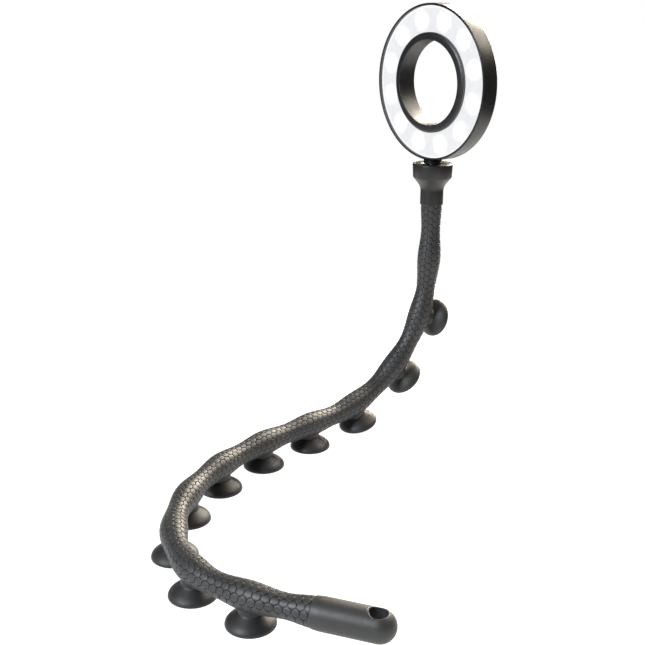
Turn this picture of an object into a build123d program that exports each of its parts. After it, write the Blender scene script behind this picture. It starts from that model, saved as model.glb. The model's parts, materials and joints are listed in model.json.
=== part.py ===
"""Ring light on a flexible suction-cup arm.

Millimetres, +Z up. The suction cups stand on the plane Z = 0 and the origin is the
middle of the object's footprint box. The arm is a gooseneck in a rubber sleeve. It
is divided into sections at its waists, one section for each suction cup, so that
each bend can be a real joint. Every section is an arc that is tangent to the next.
"""

import os
from math import cos, radians, sin

from build123d import *

# ---------------------------------------------------------------- arm
SECTION = 34.0  # arc length of a section, which is the spacing of the cups
ARM_HEIGHT = 13.0  # height of the arm's axis over the surface it stands on
SLEEVE_R = 6.2
CORE_R = 3.2  # outside of the steel gooseneck
CORE_BORE_R = 1.2
JOINT_GAP = 0.4  # between a rounded section end and the hollow it turns in
CORE_START = 8.4  # core begins this far into its section
CORE_END_GAP = 0.6

# Each section's turn over its own length, in degrees, from the handle to the
# neck: first to the left seen from above, then upwards, away from the cups.
TURNS = [
    (-16.3, 0),
    (-34.2, 0),
    (-24, 0),
    (-18.8, 0),
    (-14.6, 0),
    (-9.5, 0),
    (0.5, 0.5),
    (-5.5, 29),
    (-2.2, 28.5),
    (3.9, 23.4),
    (0.8, 7.3),
]
CUP_COUNT = 10
TAIL_WAIST = (-20.4, -124.1)  # first waist, where the first section begins
TAIL_HEADING = 159.8  # degrees from +X, from the handle towards the first section

# ---------------------------------------------------------------- suction cups
CUP_R = 11.0
CUP_LIP = 0.7
CUP_NECK_R = 4.7
CUP_NECK_HEIGHT = 5.6
CUP_HOLLOW_R = 10.2
CUP_HOLLOW_HEIGHT = 3.4
CUP_PEG_R = 2.5
CUP_PEG_TOP = ARM_HEIGHT - 4.0
CUP_PEG_START = CUP_HOLLOW_HEIGHT + 1.0  # inside the cup's own roof

# ---------------------------------------------------------------- tail and handle
TAIL_STUB = 11.4  # from the handle's shoulder to the first waist
HANDLE_R = 7.1
HANDLE_SHOULDER_R = 6.6
HANDLE_SHOULDER = 4.0  # length of the taper to the shoulder
HANDLE_LENGTH = 35.0
HANG_HOLE_R = 4.0
HANG_HOLE_FROM_TIP = 7.6
FERRULE_R = 4.6
FERRULE_LENGTH = 14.0
FERRULE_WALL = 1.2
FERRULE_SEAT = 8.0  # depth of the ferrule's pocket in the neck

# ---------------------------------------------------------------- neck
NECK_STUB = 14.5  # from the last waist to the neck's collar
COLLAR_R = 6.5
COLLAR_HEIGHT = 7.1
NECK_R = 11.3
NECK_SHOULDER_R = 10.9
NECK_SHOULDER = 15.7
NECK_HEIGHT = 23.2
CAP_R = 10.1
CAP_THICKNESS = 1.6
CHAMBER_R = 7.0
CHAMBER_FLOOR = 10.6
FLANGE_R = 5.6
FLANGE_BOTTOM = 12.6
FLANGE_THICKNESS = 1.6
WASHER_THICKNESS = 0.4
STUD_R = 2.0
JOURNAL_R = 3.0
RUNNING_CLEARANCE = 0.04
STUD_CLEARANCE = 0.3
FLANGE_GAP = 0.05  # between the stud's flange and the washer
SWIVEL_GAP = 0.2

# ---------------------------------------------------------------- ring
RING_R = 42.25
RING_DEPTH = 10.3
RING_WALL = 1.2
BACK_EDGE = 0.8
FRONT_EDGE = 0.3
BORE_R = 23.0
BORE_WALL = 1.0
BEZEL_R = 27.0
BEZEL_PROUD = 1.0
BEZEL_EDGE = 0.5
STEM_R = 5.1
STEM_SHOW = 2.2  # stem seen between the neck and the ring
STEM_SEAT = 1.2  # the stem's foot is cut to the ring's round over this height
STEM_SHANK_R = 3.4
STEM_DEPTH = 7.5  # how far the shank reaches into the ring
STEM_ROOM = 0.4  # around the shank in the LED board
INSERT_R = 2.8
DIFFUSER_RECESS = 0.35
DIFFUSER_THICKNESS = 1.2
LEDGE_WIDTH = 0.9
LEDGE_THICKNESS = 0.8
BOARD_BACK = 0.5  # from the ring's middle plane
BOARD_THICKNESS = 1.2
BOARD_INNER_R = 25.4
BOARD_OUTER_R = 36.5
LED_COUNT = 12
LED_FIRST_ANGLE = 15.0
LED_SIZE = 4.4
LED_HEIGHT = 1.6
LED_CIRCLE_R = 34.0
SCREW_CIRCLE_R = 38.8
SCREW_ANGLES = (20, 160, 200, 340)
SCREW_BOSS_R = 2.2
SCREW_R = 1.0
SCREW_HEAD_R = 1.8
SCREW_HEAD_HEIGHT = 0.7
SCREW_LENGTH = 5.4
SCREW_SLOT = (2.4, 0.5, 0.35)
POST_R = 1.6
POST_CIRCLE_R = 28.2
POST_ANGLES = (0, 45, 135, 180, 300)
BATTERY_SIZE = (26.0, 12.0, 3.2)
BATTERY_CORNER = 1.0
BATTERY_CIRCLE_R = 31.0
CONTROL_ANGLE = 235.0  # about the ring's axis, from its own x
CONTROL_SIZE = (12.6, 15.6, 0.8)
CONTROL_CIRCLE_R = 32.8
CONTROL_BACK = -0.7
USB_SIZE = (8.9, 3.2)
USB_ROUND = 1.5  # rounding of the shell's ends
USB_SHELL = 0.3
USB_TONGUE = (6.6, 0.7)
USB_DEPTH = 6.6
USB_ROOM = 0.2  # more than the socket in the housing's slot
USB_FACE_R = RING_R - 0.8
BUTTON_CIRCLE_R = 30.6
BUTTON_R = 3.2
BUTTON_PROUD = 0.9
BUTTON_FLANGE_R = 3.9
BUTTON_FLANGE = 0.6
BUTTON_TRAVEL = 0.4
BUTTON_EDGE = 0.4
BUTTON_POST_R = 1.3
BUTTON_CLEARANCE = 0.1
SWITCH_SIZE = 4.6
SWITCH_HEIGHT = 1.5
PLUNGER_R = 0.9
PLUNGER_SINK = 1.0  # depth of the plunger's bore in the switch

CAP_SEAT = NECK_HEIGHT - CAP_THICKNESS
FLANGE_TOP = FLANGE_BOTTOM + FLANGE_THICKNESS
BUSHING_BOTTOM = FLANGE_TOP + WASHER_THICKNESS
STUD_TOP = STEM_SHOW + STEM_DEPTH - 1.0
HALF_DEPTH = RING_DEPTH / 2
BACK_INSIDE = -HALF_DEPTH + RING_WALL
DIFFUSER_FRONT = HALF_DEPTH - DIFFUSER_RECESS
DIFFUSER_BACK = DIFFUSER_FRONT - DIFFUSER_THICKNESS
LEDGE_BACK = DIFFUSER_BACK - LEDGE_THICKNESS
BOARD_FRONT = BOARD_BACK + BOARD_THICKNESS
WALL_R = RING_R - RING_WALL
SWITCH_BACK = CONTROL_BACK - SWITCH_HEIGHT
BUTTON_POST_TOP = SWITCH_BACK - BUTTON_TRAVEL - BUTTON_CLEARANCE
PLUNGER_TOP = SWITCH_BACK + PLUNGER_SINK - BUTTON_TRAVEL - BUTTON_CLEARANCE / 2


def along(start, turn, distance):
    """The arm's plane at a distance into a section: z is the tangent, x points
    away from the cups."""
    swing = start.x_dir * turn[0] + start.y_dir * turn[1]
    angle = swing.length * distance / SECTION
    radius = SECTION / radians(swing.length)
    inward = swing.normalized().cross(start.z_dir)
    aside = inward * radius * (1 - cos(radians(angle)))
    ahead = start.z_dir * radius * sin(radians(angle))
    spin = Axis((0, 0, 0), swing)
    return Plane(
        start.origin + aside + ahead,
        x_dir=start.x_dir.rotate(spin, angle),
        z_dir=start.z_dir.rotate(spin, angle),
    )


def arc_path(start, turn, first, last):
    """The section's centre line between two distances along it."""
    swing = start.x_dir * turn[0] + start.y_dir * turn[1]
    here = along(start, turn, first)
    radius = SECTION / radians(swing.length)
    with BuildLine(Plane(here.origin, x_dir=here.z_dir, z_dir=swing.normalized())) as path:
        JernArc((0, 0), (1, 0), radius, swing.length * (last - first) / SECTION)
    return path.line


def arc_rod(start, turn, first, last, radius):
    """A round rod along part of a section's centre line."""
    with BuildPart() as rod:
        with BuildSketch(along(start, turn, first)):
            Circle(radius)
        sweep(path=arc_path(start, turn, first, last))
    return rod.part


def lengthwise(plane):
    """A sketch plane whose x is radial and whose y runs along the given plane's z."""
    return Plane(plane.origin, x_dir=plane.x_dir, z_dir=plane.x_dir.cross(plane.z_dir))


def on_circle(radius, angles):
    """Points at the given angles on a circle."""
    return [(radius * cos(radians(angle)), radius * sin(radians(angle))) for angle in angles]


def save(builder, label):
    """Label a finished sub-part and write it to its own file."""
    builder.part.label = label
    export_step(builder.part, f"parts/{label}.step")


# ---------------------------------------------------------------- the arm's line
heading = radians(TAIL_HEADING)
tangent = Vector(cos(heading), sin(heading), 0)
tail = Plane((TAIL_WAIST[0], TAIL_WAIST[1], ARM_HEIGHT), x_dir=(0, 0, 1), z_dir=tangent)
waists = [tail]
for turn in TURNS:
    waists.append(along(waists[-1], turn, SECTION))
neck_waist = waists[-1]
neck = neck_waist.offset(NECK_STUB)
swivel = neck.offset(NECK_HEIGHT + SWIVEL_GAP)
ring_middle = swivel.offset(STEM_SHOW + RING_R)
ring = Plane(ring_middle.origin, x_dir=neck.z_dir.cross(neck.x_dir), z_dir=neck.x_dir)

os.makedirs("parts", exist_ok=True)


# ---------------------------------------------------------------- arm sections
def sleeve_section(start, turn, cup):
    """Rubber sleeve: rounded at its far waist, hollow at its near one."""
    end = along(start, turn, SECTION)
    middle = along(start, turn, SECTION / 2)
    with BuildPart() as sleeve:
        with BuildSketch(start):
            Circle(SLEEVE_R)
        sweep(path=arc_path(start, turn, 0, SECTION))
        with Locations(end):
            Sphere(SLEEVE_R, arc_size1=0, arc_size2=90, align=Align.NONE)
        with Locations(start):
            Sphere(SLEEVE_R + JOINT_GAP, mode=Mode.SUBTRACT)
        add(arc_rod(start, turn, CORE_START, SECTION - CORE_END_GAP, CORE_R), mode=Mode.SUBTRACT)
        if cup:
            with BuildSketch(cup_plane(middle)):
                Circle(CUP_PEG_R)
            extrude(amount=CUP_PEG_TOP, mode=Mode.SUBTRACT)
    return sleeve


def core_section(start, turn):
    """The gooseneck's steel tube inside a section."""
    with BuildPart() as core:
        add(arc_rod(start, turn, CORE_START, SECTION - CORE_END_GAP, CORE_R))
        add(arc_rod(start, turn, CORE_START, SECTION - CORE_END_GAP, CORE_BORE_R), mode=Mode.SUBTRACT)
    return core


def cup_plane(middle):
    """The plane of a cup's rim: z points back to the arm."""
    return Plane(middle.origin - middle.x_dir * ARM_HEIGHT, x_dir=middle.z_dir, z_dir=middle.x_dir)


def suction_cup(start, turn):
    """Flared rubber cup with a peg that plugs into the sleeve's wall."""
    rim = cup_plane(along(start, turn, SECTION / 2))
    side = Plane(rim.origin, x_dir=rim.x_dir, z_dir=rim.x_dir.cross(rim.z_dir))
    with BuildPart() as cup:
        with BuildSketch(side):
            with BuildLine():
                Line((CUP_HOLLOW_R, 0), (CUP_R, 0))
                Line((CUP_R, 0), (CUP_R, CUP_LIP))
                flare = Spline(
                    (CUP_R, CUP_LIP),
                    (CUP_NECK_R, CUP_NECK_HEIGHT),
                    tangents=((-1, 0.28), (-0.1, 1)),
                )
                Line(flare @ 1, (CUP_NECK_R, CUP_PEG_TOP))
                Line((CUP_NECK_R, CUP_PEG_TOP), (0, CUP_PEG_TOP))
                Line((0, CUP_PEG_TOP), (0, CUP_HOLLOW_HEIGHT))
                Spline(
                    (0, CUP_HOLLOW_HEIGHT),
                    (CUP_HOLLOW_R, 0),
                    tangents=((1, 0), (1, -0.62)),
                )
            make_face()
        revolve(axis=Axis(rim.origin, rim.z_dir))
        add(arc_rod(start, turn, 0, SECTION, SLEEVE_R), mode=Mode.SUBTRACT)
        with BuildSketch(rim.offset(CUP_PEG_START)):
            Circle(CUP_PEG_R)
        extrude(amount=CUP_PEG_TOP - CUP_PEG_START)
    return cup


for number, (start, turn) in enumerate(zip(waists, TURNS), start=1):
    has_cup = number <= CUP_COUNT
    save(sleeve_section(start, turn, has_cup), f"sleeve_{number:02d}")
    save(core_section(start, turn), f"core_{number:02d}")
    if has_cup:
        save(suction_cup(start, turn), f"suction_cup_{number:02d}")

# ---------------------------------------------------------------- tail
shoulder = tail.offset(-TAIL_STUB)
with BuildPart() as tail_sleeve:
    with BuildSketch(shoulder):
        Circle(SLEEVE_R)
        Circle(CORE_R, mode=Mode.SUBTRACT)
    extrude(amount=TAIL_STUB - CORE_END_GAP)
    with BuildSketch(tail.offset(-CORE_END_GAP)):
        Circle(SLEEVE_R)
    extrude(amount=CORE_END_GAP)
    with Locations(tail):
        Sphere(SLEEVE_R, arc_size1=0, arc_size2=90, align=Align.NONE)
save(tail_sleeve, "tail_sleeve")

ferrule_start = shoulder.offset(-FERRULE_LENGTH)
with BuildPart() as tail_core:
    with BuildSketch(ferrule_start.offset(FERRULE_WALL)):
        Circle(CORE_R)
        Circle(CORE_BORE_R, mode=Mode.SUBTRACT)
    extrude(amount=FERRULE_LENGTH - FERRULE_WALL + TAIL_STUB - CORE_END_GAP)
save(tail_core, "tail_core")

with BuildPart() as tail_ferrule:
    with BuildSketch(ferrule_start):
        Circle(FERRULE_R)
    extrude(amount=FERRULE_LENGTH)
    with BuildSketch(ferrule_start.offset(FERRULE_WALL)):
        Circle(CORE_R)
    extrude(amount=FERRULE_LENGTH, mode=Mode.SUBTRACT)
save(tail_ferrule, "tail_ferrule")

tip = shoulder.offset(-HANDLE_LENGTH)
hole_centre = tip.offset(HANG_HOLE_FROM_TIP)
with BuildPart() as handle:
    with BuildSketch(lengthwise(tip)):
        with BuildLine():
            RadiusArc((0, 0), (HANDLE_R, HANDLE_R), -HANDLE_R)
            Line((HANDLE_R, HANDLE_R), (HANDLE_R, HANDLE_LENGTH - HANDLE_SHOULDER))
            Line((HANDLE_R, HANDLE_LENGTH - HANDLE_SHOULDER), (HANDLE_SHOULDER_R, HANDLE_LENGTH))
            Line((HANDLE_SHOULDER_R, HANDLE_LENGTH), (0, HANDLE_LENGTH))
            Line((0, HANDLE_LENGTH), (0, 0))
        make_face()
    revolve(axis=Axis(tip.origin, tip.z_dir))
    with BuildSketch(ferrule_start):
        Circle(FERRULE_R)
    extrude(amount=FERRULE_LENGTH, mode=Mode.SUBTRACT)
    with BuildSketch(Plane(hole_centre.origin, x_dir=hole_centre.z_dir, z_dir=hole_centre.x_dir)):
        Circle(HANG_HOLE_R)
    extrude(amount=2 * HANDLE_R, both=True, mode=Mode.SUBTRACT)
save(handle, "handle")

# ---------------------------------------------------------------- neck, fixed side
with BuildPart() as neck_sleeve:
    with BuildSketch(neck_waist):
        Circle(SLEEVE_R)
    extrude(amount=NECK_STUB)
    with Locations(neck_waist):
        Sphere(SLEEVE_R + JOINT_GAP, mode=Mode.SUBTRACT)
    with BuildSketch(neck_waist.offset(CORE_START)):
        Circle(CORE_R)
    extrude(amount=NECK_STUB, mode=Mode.SUBTRACT)
save(neck_sleeve, "neck_sleeve")

with BuildPart() as neck_core:
    with BuildSketch(neck_waist.offset(CORE_START)):
        Circle(CORE_R)
        Circle(CORE_BORE_R, mode=Mode.SUBTRACT)
    extrude(amount=NECK_STUB - CORE_START + FERRULE_SEAT - FERRULE_WALL)
save(neck_core, "neck_core")

with BuildPart() as neck_ferrule:
    with BuildSketch(neck):
        Circle(FERRULE_R)
    extrude(amount=FERRULE_SEAT)
    with BuildSketch(neck):
        Circle(CORE_R)
    extrude(amount=FERRULE_SEAT - FERRULE_WALL, mode=Mode.SUBTRACT)
save(neck_ferrule, "neck_ferrule")

with BuildPart() as neck_housing:
    with BuildSketch(lengthwise(neck)):
        with BuildLine():
            Line((FERRULE_R, 0), (COLLAR_R, 0))
            Line((COLLAR_R, 0), (COLLAR_R, COLLAR_HEIGHT))
            Spline(
                (COLLAR_R, COLLAR_HEIGHT),
                (NECK_SHOULDER_R, NECK_SHOULDER),
                tangents=((0, 1), (0.12, 1)),
                tangent_scalars=(1.6, 1.6),
            )
            Line((NECK_SHOULDER_R, NECK_SHOULDER), (NECK_R, NECK_HEIGHT))
            Line((NECK_R, NECK_HEIGHT), (CAP_R, NECK_HEIGHT))
            Line((CAP_R, NECK_HEIGHT), (CAP_R, CAP_SEAT))
            Line((CAP_R, CAP_SEAT), (CHAMBER_R, CAP_SEAT))
            Line((CHAMBER_R, CAP_SEAT), (CHAMBER_R, CHAMBER_FLOOR))
            Line((CHAMBER_R, CHAMBER_FLOOR), (0, CHAMBER_FLOOR))
            Line((0, CHAMBER_FLOOR), (0, FERRULE_SEAT))
            Line((0, FERRULE_SEAT), (FERRULE_R, FERRULE_SEAT))
            Line((FERRULE_R, FERRULE_SEAT), (FERRULE_R, 0))
        make_face()
    revolve(axis=Axis(neck.origin, neck.z_dir))
save(neck_housing, "neck_housing")

with BuildPart() as friction_washer:
    with BuildSketch(neck.offset(FLANGE_TOP)):
        Circle(FLANGE_R)
        Circle(JOURNAL_R + STUD_CLEARANCE, mode=Mode.SUBTRACT)
    extrude(amount=WASHER_THICKNESS)
save(friction_washer, "friction_washer")

with BuildPart() as neck_bushing:
    with BuildSketch(neck.offset(BUSHING_BOTTOM)):
        Circle(CHAMBER_R)
        Circle(JOURNAL_R + RUNNING_CLEARANCE, mode=Mode.SUBTRACT)
    extrude(amount=CAP_SEAT - BUSHING_BOTTOM)
save(neck_bushing, "neck_bushing")

with BuildPart() as neck_cap:
    with BuildSketch(neck.offset(CAP_SEAT)):
        Circle(CAP_R)
        Circle(JOURNAL_R + STUD_CLEARANCE, mode=Mode.SUBTRACT)
    extrude(amount=CAP_THICKNESS)
save(neck_cap, "neck_cap")

# ---------------------------------------------------------------- swivel stud
with BuildPart() as swivel_stud:
    with BuildSketch(neck.offset(FLANGE_BOTTOM)):
        Circle(FLANGE_R)
    extrude(amount=FLANGE_THICKNESS - FLANGE_GAP)
    with BuildSketch(neck.offset(FLANGE_BOTTOM)):
        Circle(JOURNAL_R)
    extrude(amount=NECK_HEIGHT + SWIVEL_GAP - FLANGE_BOTTOM)
    with BuildSketch(swivel):
        Circle(STUD_R)
    extrude(amount=STUD_TOP)
save(swivel_stud, "swivel_stud")

with BuildPart() as thread_insert:
    with BuildSketch(swivel):
        Circle(INSERT_R)
    extrude(amount=STUD_TOP)
    with BuildSketch(swivel):
        Circle(STUD_R)
    extrude(amount=STUD_TOP, mode=Mode.SUBTRACT)
save(thread_insert, "thread_insert")

with BuildPart() as mount_stem:
    with BuildSketch(swivel):
        Circle(STEM_R)
    extrude(amount=STEM_SHOW + STEM_SEAT)
    with BuildSketch(ring.offset(-RING_DEPTH)):
        Circle(RING_R)
    extrude(amount=2 * RING_DEPTH, mode=Mode.SUBTRACT)
    with BuildSketch(swivel):
        Circle(STEM_SHANK_R)
    extrude(amount=STEM_SHOW + STEM_DEPTH)
    with BuildSketch(swivel):
        Circle(INSERT_R)
    extrude(amount=STUD_TOP, mode=Mode.SUBTRACT)
save(mount_stem, "mount_stem")

# ---------------------------------------------------------------- ring
across = Plane(ring.origin, x_dir=ring.x_dir, z_dir=ring.x_dir.cross(ring.z_dir))
ring_axis = Axis(ring.origin, ring.z_dir)
outward = ring.x_dir.rotate(ring_axis, CONTROL_ANGLE)
control = Plane(ring.origin, x_dir=outward, z_dir=ring.z_dir)
port = Plane(ring.origin, x_dir=control.y_dir, z_dir=outward)


def at(plane, radius, height):
    """A plane parallel to the ring, out along the given plane's x and up its z."""
    return Plane(
        plane.origin + plane.x_dir * radius + plane.z_dir * height,
        x_dir=plane.x_dir,
        z_dir=plane.z_dir,
    )


def stem_space(clearance):
    """The round space that the stem's shank takes inside the ring."""
    with BuildPart() as space:
        with BuildSketch(swivel):
            Circle(STEM_SHANK_R + clearance)
        extrude(amount=STEM_SHOW + STEM_DEPTH + clearance)
    return space.part


with BuildPart() as ring_housing:
    with BuildSketch(across):
        Polygon(
            (WALL_R, -HALF_DEPTH),
            (RING_R - BACK_EDGE, -HALF_DEPTH),
            (RING_R, -HALF_DEPTH + BACK_EDGE),
            (RING_R, HALF_DEPTH - FRONT_EDGE),
            (RING_R - FRONT_EDGE, HALF_DEPTH),
            (WALL_R, HALF_DEPTH),
            (WALL_R, DIFFUSER_BACK),
            (WALL_R - LEDGE_WIDTH, DIFFUSER_BACK),
            (WALL_R - LEDGE_WIDTH, LEDGE_BACK),
            (WALL_R, LEDGE_BACK),
            align=None,
        )
    revolve(axis=ring_axis)
    with BuildSketch(ring.offset(BACK_INSIDE)):
        with Locations(*on_circle(SCREW_CIRCLE_R, SCREW_ANGLES)):
            Circle(SCREW_BOSS_R)
    extrude(amount=LEDGE_BACK - BACK_INSIDE)
    with BuildSketch(ring.offset(BACK_INSIDE)):
        with Locations(*on_circle(SCREW_CIRCLE_R, SCREW_ANGLES)):
            Circle(SCREW_R)
    extrude(amount=SCREW_LENGTH - RING_WALL, mode=Mode.SUBTRACT)
    add(stem_space(0), mode=Mode.SUBTRACT)
    with BuildSketch(port):
        with Locations((0, CONTROL_BACK - USB_SIZE[1] / 2)):
            RectangleRounded(USB_SIZE[0] + USB_ROOM, USB_SIZE[1] + USB_ROOM, USB_SIZE[1] / 2)
    extrude(amount=RING_R + RING_WALL, mode=Mode.SUBTRACT)
save(ring_housing, "ring_housing")

with BuildPart() as inner_bezel:
    with BuildSketch(across):
        Polygon(
            (BORE_R, -HALF_DEPTH),
            (BORE_R + BORE_WALL, -HALF_DEPTH),
            (BORE_R + BORE_WALL, DIFFUSER_FRONT),
            (BEZEL_R, DIFFUSER_FRONT),
            (BEZEL_R, DIFFUSER_FRONT + BEZEL_EDGE),
            (BEZEL_R - BEZEL_EDGE, DIFFUSER_FRONT + 2 * BEZEL_EDGE),
            (BORE_R + BEZEL_EDGE, HALF_DEPTH + BEZEL_PROUD),
            (BORE_R, HALF_DEPTH + BEZEL_PROUD - BEZEL_EDGE),
            align=None,
        )
    revolve(axis=ring_axis)
save(inner_bezel, "inner_bezel")

with BuildPart() as diffuser:
    with BuildSketch(ring.offset(DIFFUSER_BACK)):
        Circle(WALL_R)
        Circle(BORE_R + BORE_WALL, mode=Mode.SUBTRACT)
    extrude(amount=DIFFUSER_THICKNESS)
save(diffuser, "diffuser")

with BuildPart() as led_board:
    with BuildSketch(ring.offset(BOARD_BACK)):
        Circle(BOARD_OUTER_R)
        Circle(BOARD_INNER_R, mode=Mode.SUBTRACT)
    extrude(amount=BOARD_THICKNESS)
    add(stem_space(STEM_ROOM), mode=Mode.SUBTRACT)
save(led_board, "led_board")

with BuildPart() as leds:
    with BuildSketch(ring.offset(BOARD_FRONT)):
        with PolarLocations(LED_CIRCLE_R, LED_COUNT, start_angle=LED_FIRST_ANGLE):
            Rectangle(LED_SIZE, LED_SIZE)
    extrude(amount=LED_HEIGHT)
save(leds, "leds")

button = at(control, BUTTON_CIRCLE_R, 0)
with BuildPart() as rear_cover:
    with BuildSketch(ring.offset(-HALF_DEPTH)):
        Circle(WALL_R)
        Circle(BORE_R + BORE_WALL, mode=Mode.SUBTRACT)
    extrude(amount=RING_WALL)
    with BuildSketch(ring.offset(BACK_INSIDE)):
        with Locations(*on_circle(POST_CIRCLE_R, POST_ANGLES)):
            Circle(POST_R)
    extrude(amount=BOARD_BACK - BACK_INSIDE)
    with BuildSketch(ring.offset(-HALF_DEPTH)):
        with Locations(*on_circle(SCREW_CIRCLE_R, SCREW_ANGLES)):
            Circle(SCREW_HEAD_R)
    extrude(amount=SCREW_HEAD_HEIGHT, mode=Mode.SUBTRACT)
    with BuildSketch(ring.offset(-HALF_DEPTH)):
        with Locations(*on_circle(SCREW_CIRCLE_R, SCREW_ANGLES)):
            Circle(SCREW_R)
    extrude(amount=RING_WALL, mode=Mode.SUBTRACT)
    with BuildSketch(at(button, 0, -HALF_DEPTH)):
        Circle(BUTTON_R + BUTTON_CLEARANCE)
    extrude(amount=RING_WALL, mode=Mode.SUBTRACT)
save(rear_cover, "rear_cover")

with BuildPart() as case_screws:
    with BuildSketch(ring.offset(-HALF_DEPTH)):
        with Locations(*on_circle(SCREW_CIRCLE_R, SCREW_ANGLES)):
            Circle(SCREW_HEAD_R)
    extrude(amount=SCREW_HEAD_HEIGHT)
    with BuildSketch(ring.offset(-HALF_DEPTH)):
        with Locations(*on_circle(SCREW_CIRCLE_R, SCREW_ANGLES)):
            Circle(SCREW_R)
    extrude(amount=SCREW_LENGTH)
    with BuildSketch(ring.offset(-HALF_DEPTH)):
        with Locations(*on_circle(SCREW_CIRCLE_R, SCREW_ANGLES)):
            Rectangle(SCREW_SLOT[0], SCREW_SLOT[1])
            Rectangle(SCREW_SLOT[1], SCREW_SLOT[0])
    extrude(amount=SCREW_SLOT[2], mode=Mode.SUBTRACT)
save(case_screws, "case_screws")

battery_spot = Plane(ring.origin, x_dir=ring.y_dir, z_dir=ring.z_dir)
with BuildPart() as battery:
    with BuildSketch(at(battery_spot, BATTERY_CIRCLE_R, BACK_INSIDE)):
        RectangleRounded(BATTERY_SIZE[1], BATTERY_SIZE[0], BATTERY_CORNER)
    extrude(amount=BATTERY_SIZE[2])
save(battery, "battery")

with BuildPart() as control_board:
    with BuildSketch(at(control, CONTROL_CIRCLE_R, CONTROL_BACK)):
        Rectangle(CONTROL_SIZE[0], CONTROL_SIZE[1])
    extrude(amount=CONTROL_SIZE[2])
save(control_board, "control_board")

with BuildPart() as usb_socket:
    with BuildSketch(port.offset(USB_FACE_R - USB_DEPTH)):
        with Locations((0, CONTROL_BACK - USB_SIZE[1] / 2)):
            RectangleRounded(USB_SIZE[0], USB_SIZE[1], USB_ROUND)
    extrude(amount=USB_DEPTH)
    with BuildSketch(port.offset(USB_FACE_R - USB_DEPTH + USB_SHELL)):
        with Locations((0, CONTROL_BACK - USB_SIZE[1] / 2)):
            RectangleRounded(
                USB_SIZE[0] - 2 * USB_SHELL,
                USB_SIZE[1] - 2 * USB_SHELL,
                USB_ROUND - USB_SHELL,
            )
            Rectangle(USB_TONGUE[0], USB_TONGUE[1], mode=Mode.SUBTRACT)
    extrude(amount=USB_DEPTH, mode=Mode.SUBTRACT)
save(usb_socket, "usb_socket")

with BuildPart() as power_switch:
    with BuildSketch(at(button, 0, SWITCH_BACK)):
        Rectangle(SWITCH_SIZE, SWITCH_SIZE)
        Circle(PLUNGER_R + BUTTON_CLEARANCE / 2, mode=Mode.SUBTRACT)
    extrude(amount=PLUNGER_SINK)
    with BuildSketch(at(button, 0, SWITCH_BACK + PLUNGER_SINK)):
        Rectangle(SWITCH_SIZE, SWITCH_SIZE)
    extrude(amount=SWITCH_HEIGHT - PLUNGER_SINK)
save(power_switch, "power_switch")

with BuildPart() as switch_plunger:
    with BuildSketch(at(button, 0, BUTTON_POST_TOP)):
        Circle(PLUNGER_R)
    extrude(amount=PLUNGER_TOP - BUTTON_POST_TOP)
save(switch_plunger, "switch_plunger")

with BuildPart() as power_button:
    with BuildSketch(at(button, 0, -HALF_DEPTH - BUTTON_PROUD)):
        Circle(BUTTON_R)
    extrude(amount=BUTTON_PROUD + RING_WALL)
    fillet(power_button.edges().group_by(Axis(ring.origin, ring.z_dir))[0], BUTTON_EDGE)
    with BuildSketch(at(button, 0, BACK_INSIDE)):
        Circle(BUTTON_FLANGE_R)
    extrude(amount=BUTTON_FLANGE)
    with BuildSketch(at(button, 0, BACK_INSIDE + BUTTON_FLANGE)):
        Circle(BUTTON_POST_R)
    extrude(amount=BUTTON_POST_TOP - BACK_INSIDE - BUTTON_FLANGE)
save(power_button, "power_button")
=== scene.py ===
"""Looks of the ring light on its flexible suction-cup arm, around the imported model.

Metres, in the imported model's own frame. The arm is one line. Its waists are the
pivots of its joints, and between two waists it is an arc, tangent to the next one.
A distance along it is measured from the first waist, towards the ring.
"""

import json
from math import cos, pi, radians, sin, tan

import bpy
import numpy as np
from mathutils import Matrix, Vector

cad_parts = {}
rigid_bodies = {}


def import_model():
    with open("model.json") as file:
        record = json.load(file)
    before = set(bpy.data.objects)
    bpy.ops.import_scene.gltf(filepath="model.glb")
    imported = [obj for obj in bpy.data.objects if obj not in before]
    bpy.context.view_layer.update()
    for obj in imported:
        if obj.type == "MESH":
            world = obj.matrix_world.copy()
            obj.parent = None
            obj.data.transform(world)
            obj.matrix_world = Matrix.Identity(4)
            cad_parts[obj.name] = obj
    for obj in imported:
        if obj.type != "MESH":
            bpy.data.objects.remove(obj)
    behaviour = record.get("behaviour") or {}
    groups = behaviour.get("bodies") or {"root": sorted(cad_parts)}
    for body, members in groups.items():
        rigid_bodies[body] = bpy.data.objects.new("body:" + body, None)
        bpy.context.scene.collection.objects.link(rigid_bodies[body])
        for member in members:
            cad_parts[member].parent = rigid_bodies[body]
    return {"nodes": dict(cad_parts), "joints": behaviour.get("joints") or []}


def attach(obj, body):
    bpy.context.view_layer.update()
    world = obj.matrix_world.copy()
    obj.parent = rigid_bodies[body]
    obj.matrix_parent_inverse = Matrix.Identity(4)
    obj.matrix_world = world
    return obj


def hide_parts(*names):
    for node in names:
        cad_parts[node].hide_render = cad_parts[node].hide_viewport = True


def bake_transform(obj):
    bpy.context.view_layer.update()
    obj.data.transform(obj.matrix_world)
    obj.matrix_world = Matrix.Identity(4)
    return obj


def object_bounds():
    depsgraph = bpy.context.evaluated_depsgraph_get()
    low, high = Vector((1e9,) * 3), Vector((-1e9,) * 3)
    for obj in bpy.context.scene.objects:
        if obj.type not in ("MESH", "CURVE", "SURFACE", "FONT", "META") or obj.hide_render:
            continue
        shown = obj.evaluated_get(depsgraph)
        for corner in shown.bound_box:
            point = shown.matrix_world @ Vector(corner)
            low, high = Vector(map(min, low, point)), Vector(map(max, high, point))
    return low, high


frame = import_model()
cad_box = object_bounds()

MM = 0.001

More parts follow.
